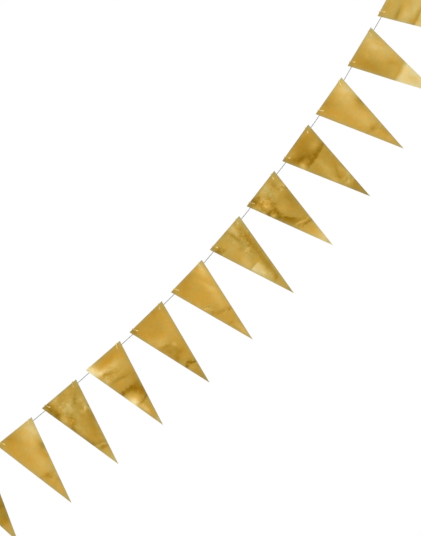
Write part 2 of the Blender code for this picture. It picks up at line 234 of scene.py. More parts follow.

# Clouds of painted reflection and painted shade in a look's foil, the studio's light and dark
# as the bent foil would mirror it: paler where tone is above 0 and darker where it is below.
PAINTED_CLOUDS = table(
    "look across_mm at half_wide_mm half_tall_mm climb tone",
    # The two rows for every pennant paint a paler upper corner and a shaded lower corner.
    ("all", -50, 0.015, 8, 8, 0, -0.11),
    ("all", 50, 0.03, 9, 10, 0, 0.07),
    ("a", -21, 0.035, 12, 5, 0, -0.1),
    ("a", -29, 0.182, 15, 6, 0, -0.2),
    ("a", -18, 0.262, 22, 10, 3, 0.24),
    ("a", -2, 0.33, 16, 8, -4, 0.16),
    ("a", 22, 0.31, 16, 14, 0, 0.18),
    ("b", -28, 0.2, 15, 45, 4, -0.16),
    ("b", -10, 0.13, 8, 8, 0, 0.1),
    ("b", 15, 0.135, 8, 12, 10, 0.1),
    ("b", 25, 0.2, 18, 50, 8, 0.28),
    ("b", 32, 0.05, 14, 14, 0, 0.14),
    ("b", 6, 0.26, 10, 16, 0, 0.12),
    ("b", 9, 0.39, 6, 12, 25, -0.1),
    ("b", -8, 0.47, 24, 8, 0, 0.06),
    ("b", 0, 0.69, 10, 20, 0, -0.14),
    ("c", -20, 0.06, 26, 18, 0, -0.13),
    ("c", -21, 0.03, 9, 6, 0, -0.09),
    ("c", 34, 0.11, 20, 30, 16, 0.32),
    ("c", 14, 0.19, 9, 22, 8, 0.12),
    ("c", 24, 0.23, 8, 14, 8, 0.09),
    ("c", 34, 0.315, 10, 13, 14, -0.3),
    ("c", 24, 0.4, 6, 14, 14, -0.1),
    ("c", 4, 0.3, 10, 34, 4, 0.1),
    ("c", 3, 0.48, 19, 22, -20, 0.17),
    ("c", -4, 0.6, 8, 8, 0, -0.2),
    ("c", 5, 0.632, 6, 3.5, 0, -0.16),
    ("c", 10, 0.72, 5, 18, 10, -0.1),
    ("c", 1, 0.8, 5, 9, 0, 0.08),
    ("d", 0, 0.08, 52, 24, 0, -0.1),
    ("d", -30, 0.03, 20, 8, 0, 0.15),
    ("d", 34, 0.025, 22, 6, 0, 0.12),
    ("d", -22, 0.15, 26, 8.5, -38, -0.28),
    ("d", 0, 0.15, 10, 12, 0, -0.12),
    ("d", -8, 0.24, 7, 9, 0, -0.13),
    ("d", -30, 0.172, 9, 6, -34, -0.18),
    ("d", -37, 0.232, 9, 12, -34, 0.46),
    ("d", 22, 0.175, 15, 8, 6, 0.17),
    ("d", 38, 0.09, 10, 14, 0, 0.08),
    ("d", -4, 0.37, 8, 30, 0, 0.14),
    ("d", 24, 0.4, 6, 20, -8, -0.04),
    ("d", -16, 0.52, 9, 26, -14, 0.16),
    ("d", -5, 0.608, 4, 4, 0, -0.14),
    ("d", -16, 0.585, 5, 8, 0, 0.14),
    ("d", 14, 0.64, 4, 9, -14, 0.16),
    ("d", 5, 0.54, 15, 2.8, 51, -0.15),
    ("d", 12, 0.58, 6, 10, 0, 0.16),
    ("d", 4, 0.692, 12, 9, 0, 0.24),
    ("d", 0, 0.655, 13, 1.6, -14, 0.2),
    ("d", 6, 0.7, 9, 1.6, 24, 0.24),
    ("d", -6, 0.715, 7, 1.4, -22, 0.14),
    ("d", 8, 0.745, 8, 1.8, 8, 0.1),
    ("e", -34, 0.036, 14, 8.5, 0, -0.4),
    ("e", -44, 0.09, 5, 12, 0, 0.1),
    ("e", -22, 0.16, 8, 12, -30, 0.32),
    ("e", 2, 0.03, 24, 6, 0, 0.12),
    ("e", 26, 0.085, 8, 9, 0, -0.22),
    ("e", -35, 0.11, 6, 9, 0, 0.06),
    ("e", 6, 0.07, 20, 12, 0, 0.3),
    ("e", 8, 0.165, 7, 10, 20, 0.14),
    ("e", -7, 0.225, 5, 6, 30, -0.22),
    ("e", 33, 0.18, 11, 9, 20, 0.18),
    ("e", 40, 0.07, 7, 12, 0, 0.12),
    ("e", -36, 0.24, 6, 5, 0, -0.34),
    ("e", -31, 0.299, 5, 3.4, -10, 0.52),
    ("e", -25, 0.305, 8, 12, -30, -0.42),
    ("e", -20, 0.355, 8, 5, -20, -0.22),
    ("e", -25, 0.392, 6, 5, 0, 0.14),
    ("e", -4, 0.32, 10, 14, 0, 0.14),
    ("e", 26, 0.33, 10, 26, -10, -0.14),
    ("e", -2, 0.546, 14, 2.6, -21, -0.16),
    ("e", -2, 0.578, 22, 1.6, -21, 0.34),
    ("e", 0, 0.61, 16, 6, -21, -0.11),
    ("e", 8, 0.628, 13, 3.2, -21, -0.28),
    ("e", 4, 0.69, 6, 9, 0, -0.08),
    ("e", 0, 0.935, 5, 7, 0, -0.16),
    ("f", -43, 0.07, 8, 9, -30, -0.32),
    ("f", -33, 0.125, 7, 6, 0, -0.16),
    ("f", -20, 0.18, 16, 22, 0, 0.1),
    ("f", -3, 0.15, 5, 6, 0, 0.1),
    ("f", 7, 0.15, 4.2, 36, 3, -0.2),
    ("f", 19, 0.06, 8, 14, 4, 0.28),
    ("f", 34, 0.04, 12, 9, 0, 0.12),
    ("f", 27, 0.25, 9, 30, -8, -0.22),
    ("f", 6, 0.3, 9, 4, -16, 0.22),
    ("f", -1, 0.265, 5, 6, 0, -0.1),
    ("f", -18, 0.4, 12, 24, -14, 0.24),
    ("f", 17, 0.48, 9, 32, -14, -0.22),
    ("f", -18, 0.48, 9, 1.3, -6, -0.16),
    ("f", 11, 0.62, 6, 20, -14, -0.16),
    ("f", -12, 0.61, 6, 9, 0, 0.16),
    ("f", -2, 0.735, 7, 6, 0, -0.28),
    ("f", 6, 0.7, 4, 10, 0, -0.1),
    ("f", 0, 0.925, 5, 5, 0, -0.14),
    ("g", -26, 0.07, 20, 16, 20, -0.1),
    ("g", 2, 0.03, 26, 8, 0, -0.1),
    ("g", 21, 0.08, 5, 9, 0, -0.06),
    ("g", 30, 0.12, 10, 30, 18, 0.22),
    ("g", 40, 0.06, 8, 15, 0, 0.3),
    ("g", 18, 0.24, 7, 26, 16, 0.18),
    ("g", 16, 0.4, 12, 34, -10, 0.2),
    ("g", -2, 0.37, 8, 10, 0, 0.06),
    ("g", -30, 0.31, 4, 12, 0, 0.06),
    ("g", -24, 0.405, 7, 1.6, -50, 0.3),
    ("g", -8, 0.53, 22, 4.5, -24, -0.17),
    ("g", -21, 0.48, 4, 5, 0, -0.1),
    ("g", 12, 0.588, 5, 4, 0, -0.26),
    ("g", -8, 0.7, 9, 4, 0, -0.16),
    ("g", 1, 0.84, 6, 24, 0, 0.18),
    ("h", -42, 0.045, 8, 10, 0, -0.18),
    ("h", 22, 0.03, 9, 5, 0, -0.08),
    ("h", -15, 0.31, 22, 15, -6, 0.26),
    ("h", -34, 0.225, 8, 8, 0, 0.14),
    ("h", 26, 0.26, 16, 36, -12, 0.13),
    ("h", -4, 0.48, 7, 9, 0, -0.14),
    ("h", -20, 0.47, 7, 11, 0, -0.12),
    ("h", -15, 0.565, 9, 9, -10, -0.24),
    ("h", 4, 0.43, 4, 4, 0, 0.26),
    ("h", 1, 0.535, 13, 8, 0, -0.16),
    ("h", 0, 0.64, 10, 7, 0, -0.04),
    ("h", -4, 0.672, 6, 2.0, 30, -0.36),
    ("h", 3, 0.692, 7, 2.6, -34, -0.48),
    ("h", -8, 0.704, 8, 2.8, -6, -0.5),
    ("h", 8, 0.712, 6, 1.8, 10, -0.24),
    ("h", -1, 0.684, 2.4, 1.4, 0, 0.22),
    ("h", -3, 0.755, 6, 5, 0, 0.08),
    ("h", 0, 0.88, 8, 20, 0, -0.1),
    ("i", -49, 0.04, 17, 16, -14, 0.74),
    ("i", -38, 0.12, 11, 9, 0, 0.32),
    ("i", -26, 0.134, 14, 9, 0, 0.36),
    ("i", -29, 0.186, 6, 3, 0, -0.18),
    ("i", 12, 0.06, 22, 9, 0, -0.05),
    ("i", 4, 0.156, 19, 10, -6, 0.3),
    ("i", 30, 0.15, 14, 14, 0, 0.08),
    ("i", -34, 0.24, 8, 10, 0, 0.26),
    ("i", 0, 0.24, 32, 9, 0, 0.15),
    ("i", -26, 0.17, 5, 1.4, 10, -0.4),
    ("i", -5, 0.228, 8, 1.4, -14, -0.26),
    ("i", 6, 0.245, 6, 1.2, 12, -0.18),
    ("i", -2, 0.315, 24, 4.5, -6, -0.22),
    ("i", -4, 0.345, 9, 4.5, 0, 0.06),
    ("i", 27, 0.37, 7, 8, 0, -0.1),
    ("i", -25, 0.462, 8, 6, 0, -0.44),
    ("i", -9, 0.46, 10, 8, 0, -0.28),
    ("i", 3, 0.492, 10, 9, -14, -0.48),
    ("i", 0, 0.455, 34, 5, 0, -0.08),
    ("i", 18, 0.56, 10, 24, -6, -0.4),
    ("i", -17, 0.608, 15, 17, -12, 0.72),
    ("i", 12, 0.635, 6, 2.2, 14, -0.28),
    ("i", -2, 0.65, 12, 4, 6, -0.2),
    ("i", -5, 0.745, 6, 12, 0, 0.38),
    ("i", 0, 0.92, 5, 9, 0, 0.2),
    ("j", -42, 0.07, 8, 16, -14, -0.34),
    ("j", -36, 0.172, 8, 13, -14, -0.44),
    ("j", -28, 0.222, 8, 6, 0, 0.16),
    ("j", -20, 0.03, 12, 7, 0, 0.28),
    ("j", 17, 0.035, 8, 6, 0, 0.13),
    ("j", -12, 0.145, 11, 9, 20, 0.26),
    ("j", -10, 0.08, 4, 5, 0, -0.08),
    ("j", 0, 0.18, 9, 10, 30, 0.18),
    ("j", 6, 0.11, 10, 10, 0, 0.2),
    ("j", 20, 0.16, 14, 4.5, 44, -0.2),
    ("j", 32, 0.2, 8, 7, 30, 0.18),
    ("j", -30, 0.262, 6, 7, 0, 0.24),
    ("j", -14, 0.28, 5, 9, 10, -0.16),
    ("j", 30, 0.255, 6, 4, 0, 0.18),
    ("j", 18, 0.345, 6, 4, 0, 0.14),
    ("j", -23, 0.362, 7, 4, 20, -0.22),
    ("j", -6, 0.23, 12, 10, 0, 0.16),
    ("j", -3, 0.33, 8, 10, 0, 0.12),
    ("j", 23, 0.295, 10, 6, 8, 0.24),
    ("j", 26, 0.42, 7, 12, -14, -0.14),
    ("j", 12, 0.5, 9, 26, -14, -0.14),
    ("j", -28, 0.41, 4, 10, 14, -0.24),
    ("j", -15, 0.415, 4, 8, 0, 0.12),
    ("j", -20, 0.56, 4, 18, 14, -0.16),
    ("j", -14, 0.49, 5, 9, 0, 0.1),
    ("j", -16, 0.645, 6, 9, 14, -0.24),
    ("j", 0, 0.694, 13, 5, -28, -0.14),
    ("j", -1, 0.72, 14, 1.6, -28, 0.32),
    ("j", 0, 0.757, 10, 4, -28, -0.24),
    ("j", 0, 0.935, 5, 8, 0, 0.14),
    ("k", 4, 0.3, 40, 40, 0, 0.1),
    ("k", -20, 0.12, 14, 20, 0, 0.16),
    ("k", 16, 0.58, 10, 16, 0, -0.06),
    ("k", 6, 0.7, 6, 8, 0, -0.08),
)

# Painted fold shading: lines where the painted reflection changes sharply on one side and fades
# away on the other, over fade_mm down from the line, or up from it where fade_mm is below 0.
PAINTED_FOLD_EDGES = table(
    "look across_mm at climb half_wide_mm fade_mm tone",
    ("a", -22, 0.19, 2, 22, -7, -0.12),
    ("a", -16, 0.398, -4, 26, -8, -0.3),
    ("c", -8, 0.6, -14, 20, -7, -0.12),
    ("d", 4, 0.279, 1, 40, -10, -0.38),
    ("e", -13, 0.426, -55, 24, 13, -0.42),
    ("e", -33, 0.262, 12, 9, -6, -0.2),
    ("f", -12, 0.488, -2, 15, 48, 0.36),
    ("g", 14, 0.575, -10, 8, -6, -0.1),
    ("h", -16, 0.365, -34, 17, 13, -0.2),
    ("h", 0, 0.722, 2, 16, -5, -0.16),
    ("i", -6, 0.66, -4, 14, -3, -0.1),
    ("j", -15, 0.345, 10, 10, -5, -0.1),
    ("j", 20, 0.33, 4, 14, 8, -0.12),
    ("k", 8, 0.59, 4, 24, -10, -0.1),
)

# Painted reflection steps at folds: where the foil's painted tone changes across a whole pennant,
# from that line down, over soft_mm.
PAINTED_BREAKS = table(
    "look at climb soft_mm tone",
    ("a", 0.415, -4, 2.0, 0.26),
    ("b", 0.527, 5, 1.8, 0.43),
    ("d", 0.758, 4, 1.5, -0.12),
    ("e", 0.64, -16, 3.0, 0.12),
    ("e", 0.78, 0, 12.0, 0.36),
    ("j", 0.8, -10, 4.0, 0.12),
    ("k", 0.76, -4, 5.0, 0.26),
)

# Crackled spots, where the foil has broken into small facets: real crumples, and facets whose
# tone is painted glint and painted shade.
CRACKLES = table(
    "look across_mm at half_wide_mm half_tall_mm share",
    ("c", 6, 0.64, 12, 8, 0.5),
    ("d", 6, 0.69, 14, 10, 0.6),
    ("d", 4, 0.25, 34, 8, 0.6),
    ("d", -30, 0.14, 16, 14, 0.4),
    ("e", -28, 0.13, 24, 26, 1.0),
    ("e", 34, 0.18, 13, 12, 1.0),
    ("e", -26, 0.28, 14, 14, 0.9),
    ("e", 6, 0.12, 18, 18, 0.5),
    ("e", 0, 0.6, 20, 8, 0.5),
    ("f", 20, 0.2, 26, 44, 0.5),
    ("f", 6, 0.32, 12, 10, 0.8),
    ("f", -42, 0.08, 12, 14, 0.8),
    ("g", -20, 0.44, 10, 12, 0.6),
    ("g", 8, 0.58, 10, 8, 0.6),
    ("h", 0, 0.69, 16, 7, 0.8),
    ("i", -18, 0.2, 22, 12, 0.8),
    ("i", -2, 0.47, 30, 12, 0.5),
    ("i", 2, 0.66, 14, 8, 0.7),
    ("j", -10, 0.15, 34, 26, 0.5),
    ("j", 27, 0.3, 14, 9, 1.0),
    ("j", -22, 0.31, 13, 16, 1.0),
    ("k", 4, 0.3, 40, 40, 0.3),
)

# Spots where the foil is warmer, towards orange, or cooler, towards olive, where warm is below 0.
TINTS = table(
    "look across_mm at half_wide_mm half_tall_mm warm",
    ("all", 48, 0.03, 10, 13, -1.6),
    ("all", -50, 0.01, 8, 8, 0.6),
    ("a", -20, 0.42, 34, 24, -1.0),
    ("b", -30, 0.14, 16, 34, 1.0),
    ("b", 0, 0.75, 30, 46, -1.2),
    ("b", 22, 0.24, 12, 16, 0.6),
    ("b", 34, 0.08, 12, 26, -1.4),
    ("c", -26, 0.24, 18, 44, 1.0),
    ("c", 34, 0.12, 16, 26, -1.0),
    ("c", 12, 0.6, 8, 16, -1.4),
    ("c", 0, 0.78, 12, 26, 0.4),
    ("d", 10, 0.07, 44, 18, 1.0),
    ("d", 0, 0.44, 26, 36, -0.5),
    ("d", 2, 0.7, 12, 12, -1.6),
    ("e", -24, 0.17, 16, 22, 1.6),
    ("e", -38, 0.06, 12, 14, 0.6),
    ("e", 4, 0.12, 14, 20, -1.8),
    ("e", 2, 0.72, 12, 14, 1.0),
    ("e", 0, 0.94, 8, 12, 0.8),
    ("f", 2, 0.2, 14, 40, -1.0),
    ("f", 28, 0.26, 12, 30, 1.0),
    ("f", -24, 0.24, 22, 50, 1.2),
    ("f", -16, 0.62, 14, 30, -0.8),
    ("f", 0, 0.88, 12, 20, 1.2),
    ("g", -8, 0.28, 40, 36, 0.5),
    ("h", -8, 0.4, 20, 12, -1.2),
    ("h", -16, 0.55, 12, 10, 1.0),
    ("h", 0, 0.68, 14, 24, -0.8),
    ("h", 0, 0.92, 8, 10, -1.0),
    ("i", 10, 0.06, 34, 12, 1.4),
    ("i", -18, 0.26, 30, 12, -0.8),
    ("i", -12, 0.57, 9, 11, 1.8),
    ("i", 12, 0.54, 12, 14, 1.0),
    ("j", 2, 0.2, 20, 24, -1.6),
    ("j", -24, 0.33, 9, 9, 2.4),
    ("j", -30, 0.22, 9, 12, 1.4),
    ("j", 0, 0.56, 20, 20, 0.8),
    ("j", 0, 0.85, 12, 20, 0.7),
    ("k", 6, 0.62, 14, 14, -1.0),
    ("k", 0, 0.745, 8, 8, 2.4),
    ("k", 0, 0.9, 12, 14, -1.2),
)

# How pale each pennant's ties are painted against the foil, at the hole and on the run to the top
# edge: painted glints on the tie thread.
TIE_GLINTS = table(
    "upper_hole upper_run lower_hole lower_run",
    (0.6, 0.6, 1.0, 0.5),
    (0.9, 0.6, 1.0, 0.35),
    (1.0, 0.8, 1.0, 0.7),
    (1.0, 0.3, 1.0, 0.25),
    (0.95, 0.45, 0.65, 0.3),
    (0.75, 0.4, 1.0, 0.35),
    (0.5, 0.8, 0.65, 0.7),
    (0.75, 0.45, 1.0, 0.35),
    (0.65, 0.7, 1.0, 0.8),
    (0.6, 0.35, 1.0, 0.2),
    (0.8, 0.8, 1.0, 0.5),
    (0.6, 0.6, 0.9, 0.3),
)

# Noise in the foil's tone: its repeats a metre, its detail and how far it swings.
TONE_NOISES = ((26.0, 2.0, 0.05), (110.0, 3.0, 0.06), (420.0, 2.0, 0.03))
# How far noise swings the foil's warmth and roughness, and what crackle and the rim add to the
# roughness.
WARM_SWING = 3.4
WEAR_SWING = 0.05
CRACKLE_WEAR = 0.08
RIM_WEAR = 0.10
# From one of the foil's golds to the next, and what rims that meet in a corner come to at most.
TONE_STEP = 0.25
RIM_LIMIT = 1.4
# Crackled foil's large and small facets: repeats a metre, the small ones' share of the large ones'
# tone, and how blurred their borders are. Their tone is painted glints and painted shade of facets
# turned different ways. Noise of this share of their scale bends them out of true, by up to this
# share of a facet.
FACET_SCALES = (150.0, 330.0)
SMALL_FACET_SHARE = 0.7
FACET_BLUR = 0.35
BEND_SCALE = 0.8
BEND_REACH = 0.9
# Heights of the foil's grain and facets, as shares of its wrinkles' height.
GRAIN_HEIGHT = 0.02
FACET_HEIGHT = 0.5
# The darkest and the lightest shade of card, thread and floor. The thread's fibre reaches its own
# at those two values of its noise, which is laid out in steps along a metre and once round a ply.
CARD_SHADES = (0.75, 1.2)
THREAD_SHADES = (0.78, 1.16, 0.3, 0.7)
FLOOR_SHADES = (0.97, 1.03)
FIBRES_ALONG = 260.0
FIBRES_AROUND = 9.0

# Handling has left the foil a little wavy: the swing in depth and the waves' length.
WAVES = ((0.00030, 0.055), (0.00008, 0.016))
# Crumples are ridged noise: how it fades, steps, octaves, offset and gain. They start where the
# foil is crackled by more than a trace.
CRUMPLE = 0.00035
CRUMPLE_LENGTH = 0.0045
CRUMPLE_FORM = (1.0, 2.0, 2.0, 1.0, 1.5)
TRACE = 0.05
# How far marks in the foil stray, and over what length.
DRIFTS = ((0.0035, 0.018), (0.0018, 0.006))
EDGE_SOFTNESS = 0.0007
# How far apart the pennants' waves and drifts lie in the noise.
WAVE_LAYER = 7.3
DRIFT_LAYER = 3.1

# A cut edge turns from the foil by more than this angle, and has less of its normal along Y.
WALL_ANGLE = math.radians(40)
WALL_NORMAL = 0.5
PUNCH_LENGTH = 0.01
SAME_POINT = 1e-6

# Plies are this much thicker than ones that just touch.
PLY_PRESS = 1.06
ROUTE_STEPS = 12
LOOP_STEPS = 6
TIE_STEPS = 4
COIL_STEPS = 16
# How far a thread's end runs on inside a knot. Over this part of a coil at each end its radius is
# drawn in to this share, and a loop's legs start at this share of their distance.
TUCK = 0.0024
TUCK_PART = 0.125
TUCKED_RADIUS = 0.55
TUCKED_LEG = 0.7
# Where a tie's painted glint starts to turn to how it is painted at the hole, and over what length,
# as shares of the hole's drop.
GLINT_FROM = 0.60
GLINT_OVER = 0.22

# ---------------------------------------------------------------- settings


def setting(kind, **form):
    """Makes properties of one kind and form, each from its name, description and default."""

    def made(name, description, default):
        return kind(name=name, description=description, default=default, **form)

    return made


metres = setting(FloatProperty, unit="LENGTH")
fraction = setting(FloatProperty, subtype="FACTOR")
amount = setting(FloatProperty)
whole = setting(IntProperty)
channels = setting(FloatVectorProperty)
# Colours are linear, as Blender's own colour fields are.
paint = setting(FloatVectorProperty, subtype="COLOR")


class BUNTING_PG_pennants(bpy.types.PropertyGroup):
    """Sizes and finish of the pennants."""

    width: metres("Width", "Along the top edge", PENNANT_WIDTH)
    length: metres("Length", "From the top edge to the point", PENNANT_LENGTH)
    thickness: metres("Thickness", "Of the foiled card", 0.0005)
    rows: whole("Rows", "Small triangles along each edge of the sheet", 112)
    hole: metres("Hole", "Diameter of the punched holes", HOLE_DIAMETER)
    hole_sides: whole("Hole Sides", "Facets round a hole", 24)
    roughness: fraction("Roughness", "Of the smooth foil", 0.30)
    # The rim greys the foil along the cut edges as painted shade, and its roughness is real wear; the
    # edge line takes some of that painted shade back right at the cut.
    rim: metres("Rim", "Width of the duller rim along the cut edges", 0.0090)
    edge_line: metres("Edge Line", "Width of the richer line at the cut", 0.0020)
    edge_gain: amount("Edge Gain", "How far the colour comes back in that line", 1.3)
    # The facets' tone is painted glints and painted shade.
    facets: amount("Facets", "How far the tone of crackled foil's facets strays", 0.24)
    rim_grey: channels("Rim Grey", "Share of each colour that turns grey at the rim", (0.58, 0.56, 0.22))
    warmth: channels("Warmth", "Change of red, green and blue where warmer", (0.035, -0.02, -0.14))
    # The golds run from the deepest painted shade at tone 0 to painted glare at tone 1.25.
    dark: paint("Dark Gold", "Foil at tone 0", (0.300, 0.152, 0.006))
    deep: paint("Deep Gold", "Foil at tone 0.25", (0.420, 0.240, 0.026))
    middle: paint("Middle Gold", "Foil at tone 0.5", (0.560, 0.345, 0.060))
    light: paint("Light Gold", "Foil at tone 0.75", (0.690, 0.455, 0.115))
    pale: paint("Pale Gold", "Foil at tone 1", (0.860, 0.650, 0.270))
    glare: paint("Glare", "Foil at tone 1.25", (0.930, 0.790, 0.420))
    card: paint("Card", "The card's cut edge", (0.30, 0.19, 0.06))


class BUNTING_PG_thread(bpy.types.PropertyGroup):
    """Sizes and colours of the thread, its ends and the ties."""

    diameter: metres("Diameter", "Of the thread", THREAD_DIAMETER)
    tie_diameter: metres("Tie Diameter", "Of each of a tie's two turns", TIE_DIAMETER)
    tie_apart: metres("Tie Turns Apart", "Between a tie's two turns", TIE_DIAMETER)
    plies: whole("Plies", "Strands twisted together", 3)
    pitch: metres("Pitch", "Length of one full twist of the thread", 0.0050)
    steps: whole("Steps", "Rings for each full twist", 10)
    sides: whole("Sides", "Facets round a ply", 6)
    grey: paint("Grey", "The thread's colour", (0.060, 0.058, 0.042))
    # The cream is a painted glint on the ties, mixed over the gilt by pale.
    cream: paint("Cream", "The ties' colour", (1.0, 0.81, 0.34))
    gilt: paint("Gilt", "The ties where they look like the foil", (0.52, 0.33, 0.05))


class BUNTING_PG_stage(bpy.types.PropertyGroup):
    """The studio round the bunting."""

    lens: amount("Lens", "Focal length in millimetres", 135.0)
    view_height: metres("View Height", "What the picture covers, top to bottom", 1.3001)
    view_x: metres("View X", "Middle of the picture, to the right", -0.50596)
    view_z: metres("View Z", "Middle of the picture, up", -0.78261)
    floor_drop: metres("Floor Drop", "From the lowest point to the floor", 0.35)
    floor_radius: metres("Floor Radius", "Of the round floor", 1.55)
    floor_colour: paint("Floor", "The floor's colour", (0.80, 0.79, 0.77))
    shade: fraction("Shade", "Studio brightness low on the right", 0.62)
    shine: amount("Shine", "Studio brightness high on the left", 1.22)


# ---------------------------------------------------------------- node trees


def connect(tree, sockets, inputs):
    """Sets each named socket to its value, or links it to another node's output."""
    for key, value in dict(inputs).items():
        if isinstance(value, bpy.types.NodeSocket):
            tree.links.new(value, sockets[key])
        else:
            sockets[key].default_value = value


def add(tree, kind, inputs=(), **settings):
    """Adds a node with its settings and inputs, and gives its outputs."""
    made = tree.nodes.new(kind)
    for name, value in settings.items():
        setattr(made, name, value)
    connect(tree, made.inputs, inputs)
    return made.outputs


def shape(tree, kind, inputs=(), **settings):
    """What a new Geometry Nodes node of that kind makes."""
    return add(tree, f"GeometryNode{kind}", inputs, **settings)[0]


def math_node(tree, operation, *values):
    """The result of one sum, product or other operation on numbers."""
    return add(tree, "ShaderNodeMath", enumerate(values), operation=operation)[0]


def vector_node(tree, operation, *values):
    """The result of one operation on vectors."""
    return add(tree, "ShaderNodeVectorMath", enumerate(values), operation=operation)[0]


def scaled(tree, vector, factor):
    """A vector times a number."""
    inputs = {"Vector": vector, "Scale": factor}
    return add(tree, "ShaderNodeVectorMath", inputs, operation="SCALE")[0]


def split(tree, vector):
    """A vector's X, Y and Z."""
    return add(tree, "ShaderNodeSeparateXYZ", {0: vector})


def combined(tree, **parts):
    """A vector of the X, Y and Z that are given, with 0 for the others."""
    return add(tree, "ShaderNodeCombineXYZ", parts)[0]


def spread(tree, value, low, high, start=0.0, end=1.0, **settings):
    """A value that goes from low to high while the given one goes from start to end."""
    inputs = {"Value": value, "From Min": start, "From Max": end, "To Min": low, "To Max": high}
    return add(tree, "ShaderNodeMapRange", inputs, **settings)[0]


def new_geometry_tree(name, inputs):
    """A Geometry Nodes tree and its group's inputs, which are given as names with their kinds."""
    tree = bpy.data.node_groups.new(name, "GeometryNodeTree")
    sockets = [("Geometry", "OUTPUT", "Geometry"), ("Geometry", "INPUT", "Geometry")]
    sockets += [(label, "INPUT", kind) for label, kind in inputs.items()]
    for label, side, kind in sockets:
        tree.interface.new_socket(label, in_out=side, socket_type=f"NodeSocket{kind}")
    return tree, add(tree, "NodeGroupInput")


def end_tree(tree, geometry, *finishes):
    """Ends a tree with real instances and each finish on its faces."""
    made = shape(tree, "RealizeInstances", {0: geometry})
    for finish in finishes:
        made = shape(tree, "SetMaterial", {0: made, **finish})
    add(tree, "NodeGroupOutput", {"Geometry": made})
    return tree


def new_object(name, data):
    """An object in the scene."""
    made = bpy.data.objects.new(name, data)
    bpy.context.scene.collection.objects.link(made)
    return made


def run_tree(tree, mesh, values):
    """The mesh that a tree makes of a mesh, with the tree's inputs set by name."""
    obj = new_object("on_the_bench", mesh)
    modifier = obj.modifiers.new("make", "NODES")
    modifier.node_group = tree
    for item in tree.interface.items_tree:
        if item.in_out == "INPUT" and item.name in values:
            modifier[item.identifier] = values[item.name]
    graph = bpy.context.evaluated_depsgraph_get()
    made = bpy.data.meshes.new_from_object(obj.evaluated_get(graph), depsgraph=graph)
    obj.modifiers.remove(modifier)
    bpy.data.objects.remove(obj)
    bpy.data.meshes.remove(mesh)
    return made


# ---------------------------------------------------------------- meshes and lines


def new_piece(name, mesh, node):
    """A finished piece at the origin that rides on the part's body and stands for a node, which it
    hides.
    """
    mesh.name = name
    piece = new_object(name, mesh)
    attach(piece, BODY)
    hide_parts(node)
    return piece


def mesh_points(mesh):
    points = np.empty(len(mesh.vertices) * 3, np.float32)
    mesh.vertices.foreach_get("co", points)
    return points.reshape(-1, 3).astype(float)


def write_attribute(mesh, name, values):
    mesh.attributes.new(name, "FLOAT", "POINT").data.foreach_set("value", values.astype(np.float32))


def line_mesh(lines, closed=False):
    """A mesh of bare edges along each line of points."""
    points, edges = [], []
    for line in lines:
        first, count = len(points), len(line)
        points += [tuple(point) for point in line]
        edges += [(first + k, first + k + 1) for k in range(count - 1)]
        if closed:
            edges.append((first + count - 1, first))
    mesh = bpy.data.meshes.new("lines")
    mesh.from_pydata(points, edges, [])
    return mesh


def smooth_points(points, steps, closed=False):
    """Points on a Catmull-Rom curve through the given ones, steps of them for each span."""
    count = len(points)

    def point(index):
        return points[index % count if closed else min(max(index, 0), count - 1)]

    found = []
    for span in range(count if closed else count - 1):
        before, start, end, after = (point(span + k) for k in (-1, 0, 1, 2))
        for step in range(steps):
            t = step / steps
            found.append(
                start
                + 0.5 * t * (end - before)
                + t * t * (before - 2.5 * start + 2.0 * end - 0.5 * after)
                + t * t * t * (1.5 * (start - end) + 0.5 * (after - before))
            )
    return found if closed else found + [points[-1].copy()]


# ---------------------------------------------------------------- layout of the swag


def along_edge(slope):
    """The direction that climbs to the right at slope degrees, in the plane of the swag."""
    angle = math.radians(slope)
    return Vector((math.cos(angle), 0.0, math.sin(angle)))


def across_edge(slope):
    """The direction square to along_edge that points up, away from the pennants' points."""
    return along_edge(slope + 90.0)


def thread_stations(places):
    """Where the thread passes each hole, from the upper end to the lower one."""
    reach = PENNANT_WIDTH / 2 - HOLE_INSET
    stations = []
    for place, row in zip(places, PENNANTS):
        along = along_edge(row["slope"])
        middle = place + across_edge(row["slope"]) * (HOLE_DROP - THREAD_DROP)
        stations += [middle + along * reach, middle - along * reach]
    return stations


def swag_places():
    """Each pennant's place, as the middle of its hole line."""
    corner = Vector((0.0, 0.0, 0.0))
    places = []
    for row in PENNANTS:
        along = along_edge(row["slope"])
        places.append(corner - along * PENNANT_WIDTH / 2 - across_edge(row["slope"]) * HOLE_DROP)
        corner = corner - along * PENNANT_WIDTH - along_edge(row["gap_slope"]) * row["gap_mm"] / 1000
    reach = LEAD_LENGTH + ROUND_GAP + KNOT_LENGTH + ROUND_GAP + LOOP_LENGTH
    origin = thread_stations(places)[0] + along_edge(UPPER_LEAD_SLOPE) * reach
    return [place - origin for place in places]


def pennant_matrix(place, row):
    """Puts what is made in a pennant's own frame in its place on the swag."""
    turned = Euler((math.radians(row["lean"]), -math.radians(row["slope"]), 0.0)).to_matrix()
    return Matrix.Translation(place + Vector((0.0, -THREAD_BEHIND, 0.0))) @ turned.to_4x4()


def ends():
    """For each end of the thread: its name, its last station and its direction outwards."""
    stations = thread_stations(swag_places())
    upper = along_edge(UPPER_LEAD_SLOPE)
    lower = -along_edge(LOWER_LEAD_SLOPE)
    return [("upper", stations[0], upper), ("lower", stations[-1], lower)]


# ---------------------------------------------------------------- materials


def new_material(name):
    material = bpy.data.materials.new(name)
    material.use_nodes = True
    tree = material.node_tree
    return material, tree, tree.nodes["Principled BSDF"].inputs


def object_noise(tree, scale, detail, roughness=0.5, output="Fac"):
    """A noise over the piece, with scale in repeats a metre."""
    place = add(tree, "ShaderNodeTexCoord")["Object"]
    inputs = {"Vector": place, "Scale": scale, "Detail": detail, "Roughness": roughness}
    return add(tree, "ShaderNodeTexNoise", inputs)[output]


def swing(tree, value, size):
    """A noise's value as a change of at most about size either way."""
    return math_node(tree, "MULTIPLY", math_node(tree, "SUBTRACT", value, 0.5), 2.0 * size)


